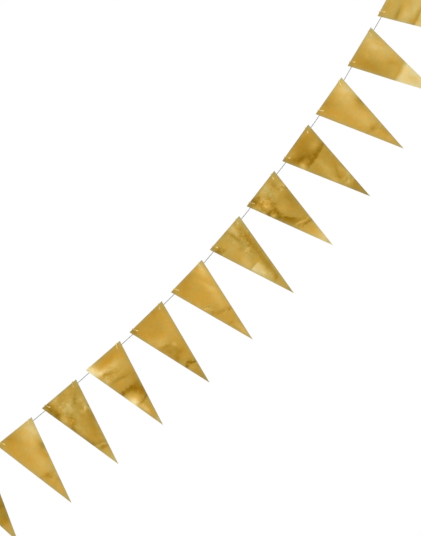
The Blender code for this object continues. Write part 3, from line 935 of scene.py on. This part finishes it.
def tinted(tree, colour, change, share):
    """A colour whose red, green and blue each gain that share of their own change."""
    factor = vector_node(tree, "ADD", scaled(tree, tuple(change), share), (1.0, 1.0, 1.0))
    return vector_node(tree, "MULTIPLY", colour, factor)


def greyed(tree, colour, shares, factor):
    """A colour whose red, green and blue each go their share, times the factor, of the way to grey."""
    grey = add(tree, "ShaderNodeRGBToBW", {0: colour})[0]
    way = vector_node(tree, "MULTIPLY", vector_node(tree, "SUBTRACT", grey, colour), tuple(shares))
    return vector_node(tree, "ADD", colour, scaled(tree, way, factor))


def attribute(tree, name):
    return add(tree, "ShaderNodeAttribute", attribute_name=name)["Fac"]


def rim_share(tree, settings):
    """What the cut edges give together. Each gives 1 near its line, 0 at the rim's width from it,
    and less in the thin line at the cut itself. It greys the foil there as painted shade, and makes
    it rougher.
    """
    plan = split(tree, add(tree, "ShaderNodeUVMap", uv_map="plan")[0])
    half = settings.width / 2
    half_left = math_node(tree, "MULTIPLY_ADD", plan["Y"], -half / settings.length, half)
    square = math.cos(math.atan2(half, settings.length))
    insides = [math_node(tree, side, half_left, plan["X"]) for side in ("ADD", "SUBTRACT")]
    distances = [plan["Y"]] + [math_node(tree, "MULTIPLY", inside, square) for inside in insides]
    total = 0.0
    for distance in distances:
        for width, gain in ((settings.rim, 1.0), (settings.edge_line, -settings.edge_gain)):
            one = spread(tree, distance, gain, 0.0, end=width, interpolation_type="SMOOTHSTEP")
            total = math_node(tree, "ADD", one, total)
    return math_node(tree, "MINIMUM", total, RIM_LIMIT)


def facets(tree, scale, crackle):
    """Small facets of crumpled foil, from -1 to 1 where it is crackled and 0 elsewhere. They give the
    facets' painted glints and shade, and the large ones a real bump too.
    """
    place = add(tree, "ShaderNodeTexCoord")["Object"]
    bent = object_noise(tree, scale * BEND_SCALE, detail=2.0, output="Color")
    place = vector_node(tree, "ADD", place, scaled(tree, bent, BEND_REACH / scale))
    cells = {"Vector": place, "Scale": scale, "Smoothness": FACET_BLUR}
    facet = add(tree, "ShaderNodeTexVoronoi", cells, feature="SMOOTH_F1")["Color"]
    return math_node(tree, "MULTIPLY", swing(tree, split(tree, facet)["X"], 1.0), crackle)


def gold_of(tree, tone, golds):
    """The gold of each tone, with the first one at tone 0 and a tone step from each to the next."""
    last = len(golds) - 1
    ramp = add(tree, "ShaderNodeValToRGB", {0: math_node(tree, "DIVIDE", tone, TONE_STEP * last)})
    stops = ramp[0].node.color_ramp.elements
    while len(stops) < len(golds):
        stops.new(0.5)
    for index, gold in enumerate(golds):
        stops[index].position = index / last
        stops[index].color = (*gold, 1.0)
    return ramp[0]


def make_foil(name, settings):
    """Crumpled gold foil: clouds of painted reflection and shade, facets with painted glints, fine
    wrinkles and a rim of painted shade that is also rougher.
    """
    material, tree, shader = new_material(name)
    crackle = attribute(tree, "crackle")
    # The tone carries the painted reflections and painted shade; the noises add tone at random.
    tone = attribute(tree, "tone")
    for scale, detail, size in TONE_NOISES:
        tone = math_node(tree, "ADD", tone, swing(tree, object_noise(tree, scale, detail), size))
    # The facets lift and lower the painted tone as painted glints and shade.
    large, small = [facets(tree, scale, crackle) for scale in FACET_SCALES]
    tone = math_node(tree, "MULTIPLY_ADD", large, settings.facets, tone)
    tone = math_node(tree, "MULTIPLY_ADD", small, settings.facets * SMALL_FACET_SHARE, tone)
    golds = [getattr(settings, gold) for gold in ("dark", "deep", "middle", "light", "pale", "glare")]
    drift = swing(tree, object_noise(tree, scale=45.0, detail=3.0, roughness=0.6), WARM_SWING)
    warm = math_node(tree, "ADD", attribute(tree, "warm"), drift)
    gold = tinted(tree, gold_of(tree, tone, golds), settings.warmth, warm)
    rim = rim_share(tree, settings)

    wear = swing(tree, object_noise(tree, scale=160.0, detail=4.0), WEAR_SWING)
    worn = math_node(tree, "ADD", wear, settings.roughness)
    worn = math_node(tree, "MULTIPLY_ADD", crackle, CRACKLE_WEAR, worn)
    worn = math_node(tree, "MULTIPLY_ADD", rim, RIM_WEAR, worn)

    wrinkles = object_noise(tree, scale=150.0, detail=3.0, roughness=0.45)
    grain = math_node(tree, "MULTIPLY", object_noise(tree, scale=2400.0, detail=2.0), GRAIN_HEIGHT)
    height = math_node(tree, "ADD", wrinkles, grain)
    height = math_node(tree, "MULTIPLY_ADD", large, FACET_HEIGHT, height)
    bump = add(tree, "ShaderNodeBump", {"Strength": 0.28, "Distance": 0.0012, "Height": height})[0]
    # Painted shade: the foil greys along the cut edges.
    gold = greyed(tree, gold, settings.rim_grey, rim)
    connect(tree, shader, {"Base Color": gold, "Metallic": 1.0, "Roughness": worn, "Normal": bump})
    return material


def make_card(name, settings):
    """The card's cut edge, with a little fibre."""
    material, tree, shader = new_material(name)
    shade = spread(tree, object_noise(tree, scale=900.0, detail=3.0), *CARD_SHADES)
    connect(tree, shader, {"Base Color": scaled(tree, tuple(settings.card), shade), "Roughness": 0.75})
    return material


def make_twist(name, colour, sheen, other=None):
    """Spun fibre that runs along each ply, from the other colour to the first as pale goes to 1. On the
    ties, pale carries a painted glint.
    """
    material, tree, shader = new_material(name)
    along = math_node(tree, "MULTIPLY", attribute(tree, "along"), FIBRES_ALONG)
    around = math_node(tree, "MULTIPLY", attribute(tree, "around"), FIBRES_AROUND)
    lay = combined(tree, X=along, Y=around)
    fibre = add(tree, "ShaderNodeTexNoise", {"Vector": lay, "Scale": 1.6, "Detail": 4.0})["Fac"]
    other = Vector(other or colour)
    change = scaled(tree, tuple(Vector(colour) - other), attribute(tree, "pale"))
    base = vector_node(tree, "ADD", tuple(other), change)
    bump = add(tree, "ShaderNodeBump", {"Strength": 0.5, "Distance": 0.0001, "Height": fibre})[0]
    finish = {
        "Base Color": scaled(tree, base, spread(tree, fibre, *THREAD_SHADES)),
        "Roughness": 0.72,
        "Sheen Weight": sheen,
        "Specular IOR Level": 0.2,
        "Normal": bump,
    }
    connect(tree, shader, finish)
    return material


def material_named(name, make, *settings):
    """The material of that name, made the first time that it is asked for."""
    return bpy.data.materials.get(name) or make(name, *settings)


def grey_thread(settings):
    return material_named("grey_thread", make_twist, settings.grey, 0.15)


# ---------------------------------------------------------------- pennants


def flat_sheet_tree():
    """The flat cut: a grid of even small triangles, drawn to an isosceles triangle."""
    sizes = {"Width": "Float", "Length": "Float", "Hole Drop": "Float", "Rows": "Int"}
    tree, given = new_geometry_tree("flat_pennant", {**sizes, "Foil": "Material"})
    count = math_node(tree, "ADD", given["Rows"], 1.0)
    square = {"Size X": 1.0, "Size Y": 1.0, "Vertices X": count, "Vertices Y": count}
    grid = shape(tree, "MeshGrid", square)
    grid = shape(tree, "Triangulate", {0: grid}, quad_method="FIXED_ALTERNATE")
    share = split(tree, vector_node(tree, "ADD", shape(tree, "InputPosition"), (0.5, 0.5, 0.0)))
    beyond = math_node(tree, "GREATER_THAN", math_node(tree, "ADD", share["X"], share["Y"]), 1.0)
    half = shape(tree, "DeleteGeometry", {0: grid, 1: beyond}, domain="FACE")
    across = math_node(tree, "MULTIPLY_ADD", share["Y"], 0.5, share["X"])
    across = math_node(tree, "MULTIPLY", math_node(tree, "SUBTRACT", across, 0.5), given["Width"])
    drop = math_node(tree, "MULTIPLY", share["Y"], given["Length"])
    up = math_node(tree, "SUBTRACT", given["Hole Drop"], drop)
    cut = shape(tree, "SetPosition", {0: half, "Position": combined(tree, X=across, Z=up)})
    return end_tree(tree, shape(tree, "FlipFaces", {0: cut}), {"Material": given["Foil"]})


def punched_sheet_tree():
    """Gives a bent sheet its thickness and punches both holes."""
    sizes = {"Thickness": "Float", "Hole Diameter": "Float", "Hole Reach": "Float", "Hole Sides": "Int"}
    tree, given = new_geometry_tree("punched_pennant", {**sizes, "Foil": "Material", "Card": "Material"})
    back = combined(tree, Y=math_node(tree, "MULTIPLY", given["Thickness"], 0.5))
    sheet = shape(tree, "SetPosition", {0: given["Geometry"], "Offset": back})
    forward = {0: sheet, "Offset Scale": given["Thickness"], "Individual": False}
    both = tree.nodes.new("GeometryNodeJoinGeometry")
    tree.links.new(shape(tree, "ExtrudeMesh", forward), both.inputs[0])
    tree.links.new(shape(tree, "FlipFaces", {0: sheet}), both.inputs[0])
    card = shape(tree, "MergeByDistance", {0: both.outputs[0], "Distance": SAME_POINT})

    reach = combined(tree, X=given["Hole Reach"])
    start, step = scaled(tree, reach, -1.0), scaled(tree, reach, 2.0)
    holes = shape(tree, "MeshLine", {"Count": 2, "Start Location": start, "Offset": step})
    radius = math_node(tree, "MULTIPLY", given["Hole Diameter"], 0.5)
    bar = {"Vertices": given["Hole Sides"], "Radius": radius, "Depth": PUNCH_LENGTH}
    pair = {"Points": holes, "Instance": shape(tree, "MeshCylinder", bar)}
    punches = shape(tree, "InstanceOnPoints", {**pair, "Rotation": (math.pi / 2, 0.0, 0.0)})
    cut = {"Mesh 1": card, "Mesh 2": shape(tree, "RealizeInstances", {0: punches})}
    punched = shape(tree, "MeshBoolean", cut, operation="DIFFERENCE", solver="EXACT")

    slant = math_node(tree, "ABSOLUTE", split(tree, shape(tree, "InputNormal"))["Y"])
    wall = math_node(tree, "LESS_THAN", slant, WALL_NORMAL)
    edge = {"Selection": wall, "Material": given["Card"]}
    return end_tree(tree, punched, {"Material": given["Foil"]}, edge)


def calm(drop):
    """0 along the tied strip under the top edge, rising smoothly to 1 below it."""
    share = np.clip((drop - CALM_TOP) / CALM_REACH, 0.0, 1.0)
    return share * share * (3.0 - 2.0 * share)


def from_mark(across, drop, mark):
    """How far each point lies along a mark's line from its middle, and how far below the line."""
    angle = math.radians(mark.get("climb", 0.0))
    x = across - mark.get("across_mm", 0.0) / 1000
    y = drop - mark["at"] * PENNANT_LENGTH
    return x * math.cos(angle) - y * math.sin(angle), y * math.cos(angle) + x * math.sin(angle)


def sheet_depth(across, drop, row, folds):
    """How far behind a flat sheet each point lies, on the solid's curl, cup and folds."""
    depth = row["curl_mm"] / 1000 * (drop / PENNANT_LENGTH) ** 2
    depth += row["cup_mm"] / 1000 * (2 * across / PENNANT_WIDTH) ** 2
    for fold in folds:
        _, below = from_mark(across, drop, fold)
        soft = FOLD_SOFTNESS * np.logaddexp(0.0, below / FOLD_SOFTNESS)
        depth += math.tan(math.radians(fold["turn"])) * soft
    return calm(drop) * depth


def look_rows(marks, look):
    return [mark for mark in marks if mark["look"] in (look, "all")]


def spot_share(across, drop, spot):
    """1 in the middle of a spot, falling smoothly to nothing outside it."""
    along, below = from_mark(across, drop, spot)
    wide, tall = spot["half_wide_mm"] / 1000, spot["half_tall_mm"] / 1000
    return np.exp(-((along / wide) ** 2) - (below / tall) ** 2)


def spot_total(across, drop, spots, look, column):
    """What a look's spots give together at each point."""
    total = np.zeros_like(across)
    for spot in look_rows(spots, look):
        total += spot[column] * spot_share(across, drop, spot)
    return total


def passed(distance, softness):
    """0 before a line and 1 past it, changing over the softness."""
    return 1.0 / (1.0 + np.exp(-np.clip(distance / softness, -40.0, 40.0)))


def edge_share(across, drop, edge):
    """1 at an edge's line, falling smoothly on its soft side and at once on the other."""
    along, below = from_mark(across, drop, edge)
    fade = edge["fade_mm"] / 1000
    soft_way = math.copysign(1.0, fade) * below
    faded = np.exp(-((np.maximum(soft_way, 0.0) / fade) ** 2))
    kept = np.exp(-((along / (edge["half_wide_mm"] / 1000)) ** 4))
    return passed(soft_way, EDGE_SOFTNESS) * faded * kept


def noise_at(across, drop, length, layer, sample):
    """A noise's value at each point of a sheet, on one layer of the noise."""
    return np.array([sample(Vector((x / length, z / length, layer))) for x, z in zip(across, drop)])


def wave_depth(across, drop, number):
    """Slight waves all over, other ones on each pennant."""
    layer = WAVE_LAYER * number
    return sum(size * noise_at(across, drop, length, layer, noise.noise) for size, length in WAVES)


def drifted(across, drop, number):
    """The points' across and drop, moved a little so that marks come out ragged."""
    for reach, length in DRIFTS:
        moves = reach * noise_at(across, drop, length, DRIFT_LAYER * number, noise.noise_vector)
        across, drop = across + moves[:, 0], drop + moves[:, 1]
    return across, drop


def crackle_share(across, drop, look):
    """How crackled the foil is at each point, from 0 to 1."""
    share = np.zeros_like(across)
    for spot in look_rows(CRACKLES, look):
        share = np.maximum(share, spot["share"] * spot_share(across, drop, spot))
    return share


def crumple_depth(across, drop, look):
    """Small sharp crumples in the crackled spots."""
    share = crackle_share(across, drop, look)
    depth = np.zeros_like(across)
    for index in np.flatnonzero(share > TRACE):
        place = Vector((across[index], drop[index], 0.0)) / CRUMPLE_LENGTH
        depth[index] = share[index] * noise.ridged_multi_fractal(place, *CRUMPLE_FORM)
    return CRUMPLE * depth


def painted_foil_tone(across, drop, number, row):
    """How pale the foil is painted at each point, from 0 for dark gold to 1 for pale gold, as painted
    reflections and painted shade.
    """
    across, drop = drifted(across, drop, number)
    tone = row["tone"] + spot_total(across, drop, PAINTED_CLOUDS, row["look"], "tone")
    for edge in look_rows(PAINTED_FOLD_EDGES, row["look"]):
        tone += edge["tone"] * edge_share(across, drop, edge)
    for change in look_rows(PAINTED_BREAKS, row["look"]):
        _, below = from_mark(across, drop, change)
        tone += change["tone"] * passed(below, change["soft_mm"] / 1000)
    return tone


def bend(mesh, number, row):
    """Lays a flat pennant on its folds, creases, crumples and waves."""
    points = mesh_points(mesh)
    across, drop = points[:, 0], HOLE_DROP - points[:, 2]
    folds = [fold for fold in FOLDS if fold["pennant"] == number]
    fine = wave_depth(across, drop, number) + crumple_depth(across, drop, row["look"])
    fine -= spot_total(across, drop, CREASES, row["look"], "rise_mm") / 1000
    points[:, 1] = sheet_depth(across, drop, row, folds) + calm(drop + CALM_TOP / 2) * fine
    mesh.vertices.foreach_set("co", points.astype(np.float32).ravel())
    mesh.update()


def mark_foil(mesh, number, row):
    """Writes the foil's painted tone of reflections and shade, its warmth and crackle on the points,
    and the cutting plan as a UV map.
    """
    points = mesh_points(mesh)
    across, drop = points[:, 0], HOLE_DROP - points[:, 2]
    warm = row["warm"] + spot_total(across, drop, TINTS, row["look"], "warm")
    write_attribute(mesh, "tone", painted_foil_tone(across, drop, number, row))
    write_attribute(mesh, "warm", warm)
    write_attribute(mesh, "crackle", crackle_share(across, drop, row["look"]))
    corner = np.empty(len(mesh.loops), np.int32)
    mesh.loops.foreach_get("vertex_index", corner)
    plan = np.stack([across[corner], drop[corner]], axis=1)
    mesh.uv_layers.new(name="plan").uv.foreach_set("vector", plan.astype(np.float32).ravel())


class BUNTING_OT_pennants(bpy.types.Operator):
    """Cut, bend and punch the twelve foil pennants"""

    bl_idname = "bunting.make_pennants"
    bl_label = "Pennants"

    def execute(self, context):
        settings = context.scene.bunting_pennants
        foil = material_named("crumpled_foil", make_foil, settings)
        width, length = settings.width, settings.length
        plan = {"Width": width, "Length": length, "Hole Drop": HOLE_DROP, "Rows": settings.rows}
        flat = run_tree(flat_sheet_tree(), bpy.data.meshes.new("blank"), {**plan, "Foil": foil})
        punch = punched_sheet_tree()
        given = {
            "Thickness": settings.thickness,
            "Hole Diameter": settings.hole,
            "Hole Reach": width / 2 - HOLE_INSET,
            "Hole Sides": settings.hole_sides,
            "Foil": foil,
            "Card": material_named("card_edge", make_card, settings),
        }
        for number, (place, row) in enumerate(zip(swag_places(), PENNANTS), start=1):
            sheet = flat.copy()
            bend(sheet, number, row)
            mesh = run_tree(punch, sheet, given)
            mark_foil(mesh, number, row)
            mesh.shade_smooth()
            mesh.set_sharp_from_angle(angle=WALL_ANGLE)
            mesh.transform(pennant_matrix(place, row))
            name = f"pennant_{number:02d}"
            pennant = new_piece(f"foil_{name}", mesh, name)
        return {"FINISHED"}


# ---------------------------------------------------------------- thread, ties and ends


def stored(tree, geometry, name, value):
    """The geometry with a value for each point, kept under a name."""
    return shape(tree, "StoreNamedAttribute", {0: geometry, "Name": name, "Value": value})


def plied_tree():
    """Twists plies along each line of a mesh of edges."""
    sizes = {"Diameter": "Float", "Pitch": "Float", "Plies": "Int", "Steps": "Int", "Sides": "Int"}
    tree, given = new_geometry_tree("plied_thread", {**sizes, "Material": "Material"})
    line = shape(tree, "MeshToCurve", {0: given["Geometry"]})
    turns = math_node(tree, "DIVIDE", shape(tree, "SplineLength"), given["Pitch"])
    turns = math_node(tree, "MAXIMUM", math_node(tree, "ROUND", turns), 1.0)
    count = math_node(tree, "MULTIPLY_ADD", turns, given["Steps"], 1.0)
    even = shape(tree, "ResampleCurve", {0: line, "Count": count}, mode="COUNT")
    copies = {0: even, "Amount": given["Plies"]}
    plies = add(tree, "GeometryNodeDuplicateElements", copies, domain="SPLINE")

    share = add(tree, "GeometryNodeSplineParameter")
    lead = math_node(tree, "DIVIDE", plies["Duplicate Index"], given["Plies"])
    twist = math_node(tree, "MULTIPLY_ADD", share["Factor"], turns, lead)
    angle = math_node(tree, "MULTIPLY", twist, 2.0 * math.pi)
    # Plies that touch in a ring: a ply's radius is the ring's radius times the sine of half a step.
    ratio = math_node(tree, "SINE", math_node(tree, "DIVIDE", math.pi, given["Plies"]))
    radius = math_node(tree, "MULTIPLY", given["Diameter"], 0.5)
    ring = math_node(tree, "DIVIDE", radius, math_node(tree, "ADD", ratio, 1.0))
    ply = math_node(tree, "MULTIPLY", math_node(tree, "MULTIPLY", ring, ratio), PLY_PRESS)

    normal = shape(tree, "InputNormal")
    side = vector_node(tree, "CROSS_PRODUCT", shape(tree, "InputTangent"), normal)
    ahead = scaled(tree, normal, math_node(tree, "COSINE", angle))
    aside = scaled(tree, side, math_node(tree, "SINE", angle))
    out = scaled(tree, vector_node(tree, "ADD", ahead, aside), ring)
    strand = shape(tree, "SetPosition", {0: plies[0], "Offset": out})
    run = stored(tree, strand, "along", share["Length"])
    section = shape(tree, "CurvePrimitiveCircle", {"Resolution": given["Sides"], "Radius": ply})
    section = stored(tree, section, "around", share["Factor"])
    tube = shape(tree, "CurveToMesh", {0: run, "Profile Curve": section, "Fill Caps": True})
    return end_tree(tree, tube, {"Material": given["Material"]})


def spin(lines, diameter, settings, material, closed=False):
    """Plied thread of that diameter along each line of points, as one mesh."""
    tree = bpy.data.node_groups.get("plied_thread") or plied_tree()
    given = {
        "Diameter": diameter,
        "Pitch": settings.pitch * diameter / settings.diameter,
        "Plies": settings.plies,
        "Steps": settings.steps,
        "Sides": settings.sides,
        "Material": material,
    }
    mesh = run_tree(tree, line_mesh(lines, closed), given)
    mesh.shade_smooth()
    return mesh


def thread_route():
    """The thread's middle line: a lead, the run behind every pennant, and the other lead."""
    (_, first, upper), (_, last, lower) = ends()
    leads = [LEAD_LENGTH * k / LEAD_POINTS for k in range(1, LEAD_POINTS + 1)]
    route = [first + upper * lead for lead in reversed(leads)]
    route += thread_stations(swag_places())
    route += [last + lower * lead for lead in leads]
    line = smooth_points(route, ROUTE_STEPS)
    return [line[0] + upper * TUCK] + line + [line[-1] + lower * TUCK]


def end_matrix(place, direction):
    """Puts what is made along +Z along an end's direction."""
    turned = Euler((0.0, math.atan2(direction.x, direction.z), 0.0)).to_matrix()
    return Matrix.Translation(place) @ turned.to_4x4()


def knot_line(diameter):
    """The knot's wraps: a close coil round the thread, with both its ends tucked in."""
    turns = KNOT_WRAPS - diameter / WRAP_PITCH / 2
    steps = int(turns * COIL_STEPS)
    start = (KNOT_LENGTH - turns * WRAP_PITCH) / 2
    points = []
    for step in range(steps + 1):
        share = step / steps
        open_share = min(1.0, share / TUCK_PART, (1.0 - share) / TUCK_PART)
        radius = diameter * (TUCKED_RADIUS + (1.0 - TUCKED_RADIUS) * open_share)
        angle = 2.0 * math.pi * turns * share
        height = start + turns * WRAP_PITCH * share
        points.append(Vector((radius * math.cos(angle), radius * math.sin(angle), height)))
    return points


def loop_line(diameter):
    """The end loop, from inside the knot out and back."""
    side = [Vector((LOOP_LEG * TUCKED_LEG, 0.0, -TUCK))]
    for point in LOOP_POINTS:
        spread_out = LOOP_LEG + (LOOP_WIDTH / 2 - LOOP_LEG) * point["spread"]
        side.append(Vector((spread_out, 0.0, LOOP_LENGTH * point["reach"])))
    top = Vector((0.0, 0.0, LOOP_LENGTH + diameter / 2))
    other = [Vector((-point.x, 0.0, point.z)) for point in reversed(side)]
    return smooth_points(side + [top] + other, LOOP_STEPS)


class BUNTING_OT_ends(bpy.types.Operator):
    """Tie the knot and the loop at each end of the thread"""

    bl_idname = "bunting.make_ends"
    bl_label = "End Knots and Loops"

    def execute(self, context):
        settings = context.scene.bunting_thread
        for label, station, direction in ends():
            place = station + direction * (LEAD_LENGTH + ROUND_GAP)
            for kind, make_line in (("knot", knot_line), ("loop", loop_line)):
                line = make_line(settings.diameter)
                mesh = spin([line], settings.diameter, settings, grey_thread(settings))
                mesh.transform(end_matrix(place, direction))
                new_piece(f"plied_{label}_{kind}", mesh, f"{label}_{kind}")
                place = place + direction * (KNOT_LENGTH + ROUND_GAP)
        return {"FINISHED"}


class BUNTING_OT_thread(bpy.types.Operator):
    """Spin the thread that carries the pennants"""

    bl_idname = "bunting.make_thread"
    bl_label = "Thread"

    def execute(self, context):
        settings = context.scene.bunting_thread
        path = thread_route()
        mesh = spin([path], settings.diameter, settings, grey_thread(settings))
        new_piece("plied_thread", mesh, "thread")
        return {"FINISHED"}


def tie_line(side, apart):
    """One of a tie's two rings in the pennant's own frame, apart from the tie's middle.

    Over the top edge it leans out to the corner.
    """
    lean = Vector((side * TIE_LEAN, 0.0, HOLE_DROP)).normalized()
    aside = Vector((lean.z, 0.0, -lean.x)) * apart
    points = []
    for point in TIE_POINTS:
        drop = point["drop_mm"] / 1000
        out = TIE_LEAN * (1.0 - drop / HOLE_DROP)
        across = side * (PENNANT_WIDTH / 2 - HOLE_INSET + out)
        points.append(Vector((across, point["back_mm"] / 1000, HOLE_DROP - drop)) + aside)
    return smooth_points(points, TIE_STEPS, closed=True)


class BUNTING_OT_ties(bpy.types.Operator):
    """Tie every pennant to the thread at both its holes"""

    bl_idname = "bunting.make_ties"
    bl_label = "Ties"

    def execute(self, context):
        settings = context.scene.bunting_thread
        cream = material_named("cream_thread", make_twist, settings.cream, 0.0, settings.gilt)
        shifts = (-settings.tie_apart / 2, settings.tie_apart / 2)
        for number, (place, row, look) in enumerate(zip(swag_places(), PENNANTS, TIE_GLINTS), start=1):
            for side_name, side in (("upper", 1), ("lower", -1)):
                rings = [tie_line(side, shift) for shift in shifts]
                mesh = spin(rings, settings.tie_diameter, settings, cream, closed=True)
                # Each tie is painted paler towards the hole, as painted glints.
                drop = 1.0 - mesh_points(mesh)[:, 2] / HOLE_DROP
                at_hole = np.clip((drop - GLINT_FROM) / GLINT_OVER, 0.0, 1.0)
                hole, run = look[f"{side_name}_hole"], look[f"{side_name}_run"]
                write_attribute(mesh, "pale", run + (hole - run) * at_hole)
                mesh.transform(pennant_matrix(place, row))
                name = f"tie_{number:02d}_{side_name}"
                new_piece(f"plied_{name}", mesh, name)
        return {"FINISHED"}


# ---------------------------------------------------------------- studio

# Where the white room shines from, and one row per softbox: its side, its power, and where it
# stands from the middle of the view.
SHINE_FROM = (-0.62, -0.20, 0.76)
SOFTBOXES = table(
    "name size power x y z",
    ("key", 1.8, 10.0, -2.0, -2.4, 1.5),
    ("fill", 2.2, 4.0, 2.2, -2.0, -0.3),
    ("back", 2.0, 8.0, 0.6, 2.6, 1.2),
)


def make_backlight(settings):
    """A plain white room: pale behind, shaded low on the right and shining high on the left."""
    world = bpy.data.worlds.new("white_studio")
    world.use_nodes = True
    tree = world.node_tree
    tree.nodes.clear()
    ways = {0: add(tree, "ShaderNodeTexCoord")["Generated"], 1: tuple(Vector(SHINE_FROM).normalized())}
    height = add(tree, "ShaderNodeVectorMath", ways, operation="DOT_PRODUCT")["Value"]
    light = spread(tree, height, settings.shade, settings.shine, start=-1.0)
    seen = add(tree, "ShaderNodeLightPath")["Is Camera Ray"]
    strength = add(tree, "ShaderNodeMix", {"Factor": seen, "A": light, "B": 1.0}, data_type="FLOAT")[0]
    white = {"Color": (1.0, 1.0, 1.0, 1.0), "Strength": strength}
    add(tree, "ShaderNodeOutputWorld", {"Surface": add(tree, "ShaderNodeBackground", white)[0]})
    bpy.context.scene.world = world


def make_floor(settings, centre, level):
    """A round matt floor below the swag."""
    material, tree, shader = new_material("studio_floor")
    shade = spread(tree, object_noise(tree, scale=2.5, detail=2.0), *FLOOR_SHADES)
    colour = scaled(tree, tuple(settings.floor_colour), shade)
    connect(tree, shader, {"Base Color": colour, "Roughness": 0.85})
    bpy.ops.mesh.primitive_circle_add(vertices=96, radius=settings.floor_radius, fill_type="NGON")
    floor = bpy.context.object
    floor.name = "studio_floor"
    floor.location = (centre.x, centre.y, level)
    floor.data.materials.append(material)


def make_softbox(box, target):
    data = bpy.data.lights.new(f"softbox_{box['name']}", "AREA")
    data.shape = "SQUARE"
    data.size = box["size"]
    data.energy = box["power"]
    light = new_object(data.name, data)
    place = target + Vector((box["x"], box["y"], box["z"]))
    aim = (target - place).to_track_quat("-Z", "Y")
    light.matrix_world = Matrix.Translation(place) @ aim.to_matrix().to_4x4()


def make_camera(settings):
    """Square on to the swag's plane through a long lens, as the photograph was taken."""
    data = bpy.data.cameras.new("camera")
    data.lens = settings.lens
    data.clip_end = 50.0
    distance = settings.view_height * settings.lens / data.sensor_width
    camera = new_object("camera", data)
    camera.location = (settings.view_x, -THREAD_BEHIND - distance, settings.view_z)
    camera.rotation_euler = (math.pi / 2, 0.0, 0.0)
    bpy.context.scene.camera = camera


class BUNTING_OT_stage(bpy.types.Operator):
    """Set up the camera, the floor and the soft studio light"""

    bl_idname = "bunting.make_stage"
    bl_label = "Stage"

    def execute(self, context):
        settings = context.scene.bunting_stage
        middle = Vector((settings.view_x, 0.0, settings.view_z))
        make_camera(settings)
        make_backlight(settings)
        make_floor(settings, middle, CAD_BOX[0][2] - settings.floor_drop)
        for box in SOFTBOXES:
            make_softbox(box, middle)
        context.scene.view_settings.view_transform = "Standard"
        return {"FINISHED"}


# ---------------------------------------------------------------- panel and running


class BUNTING_PT_panel(bpy.types.Panel):
    """Lists the bunting's settings and the operators that make it"""

    bl_idname = "BUNTING_PT_panel"
    bl_label = "Foil Pennant Bunting"
    bl_space_type = "VIEW_3D"
    bl_region_type = "UI"
    bl_category = "Bunting"

    def draw(self, context):
        for operator, group in MAKING:
            box = self.layout.box()
            box.operator(operator.bl_idname)
            if group:
                settings = getattr(context.scene, group)
                for name in settings.__annotations__:
                    box.prop(settings, name)


# In the order of making, each with the settings that are shown under its button.
MAKING = (
    (BUNTING_OT_stage, "bunting_stage"),
    (BUNTING_OT_ends, None),
    (BUNTING_OT_thread, "bunting_thread"),
    (BUNTING_OT_ties, None),
    (BUNTING_OT_pennants, "bunting_pennants"),
)
GROUPS = (
    ("bunting_stage", BUNTING_PG_stage),
    ("bunting_thread", BUNTING_PG_thread),
    ("bunting_pennants", BUNTING_PG_pennants),
)


def register():
    for name, group in GROUPS:
        bpy.utils.register_class(group)
        setattr(bpy.types.Scene, name, PointerProperty(type=group))
    for operator, _ in MAKING:
        bpy.utils.register_class(operator)
    bpy.utils.register_class(BUNTING_PT_panel)


def unregister():
    bpy.utils.unregister_class(BUNTING_PT_panel)
    for operator, _ in reversed(MAKING):
        bpy.utils.unregister_class(operator)
    for name, group in reversed(GROUPS):
        delattr(bpy.types.Scene, name)
        bpy.utils.unregister_class(group)


def main():
    register()
    bpy.ops.bunting.make_stage()
    bpy.ops.bunting.make_ends()
    bpy.ops.bunting.make_thread()
    bpy.ops.bunting.make_ties()
    bpy.ops.bunting.make_pennants()


if __name__ == "__main__":
    main()
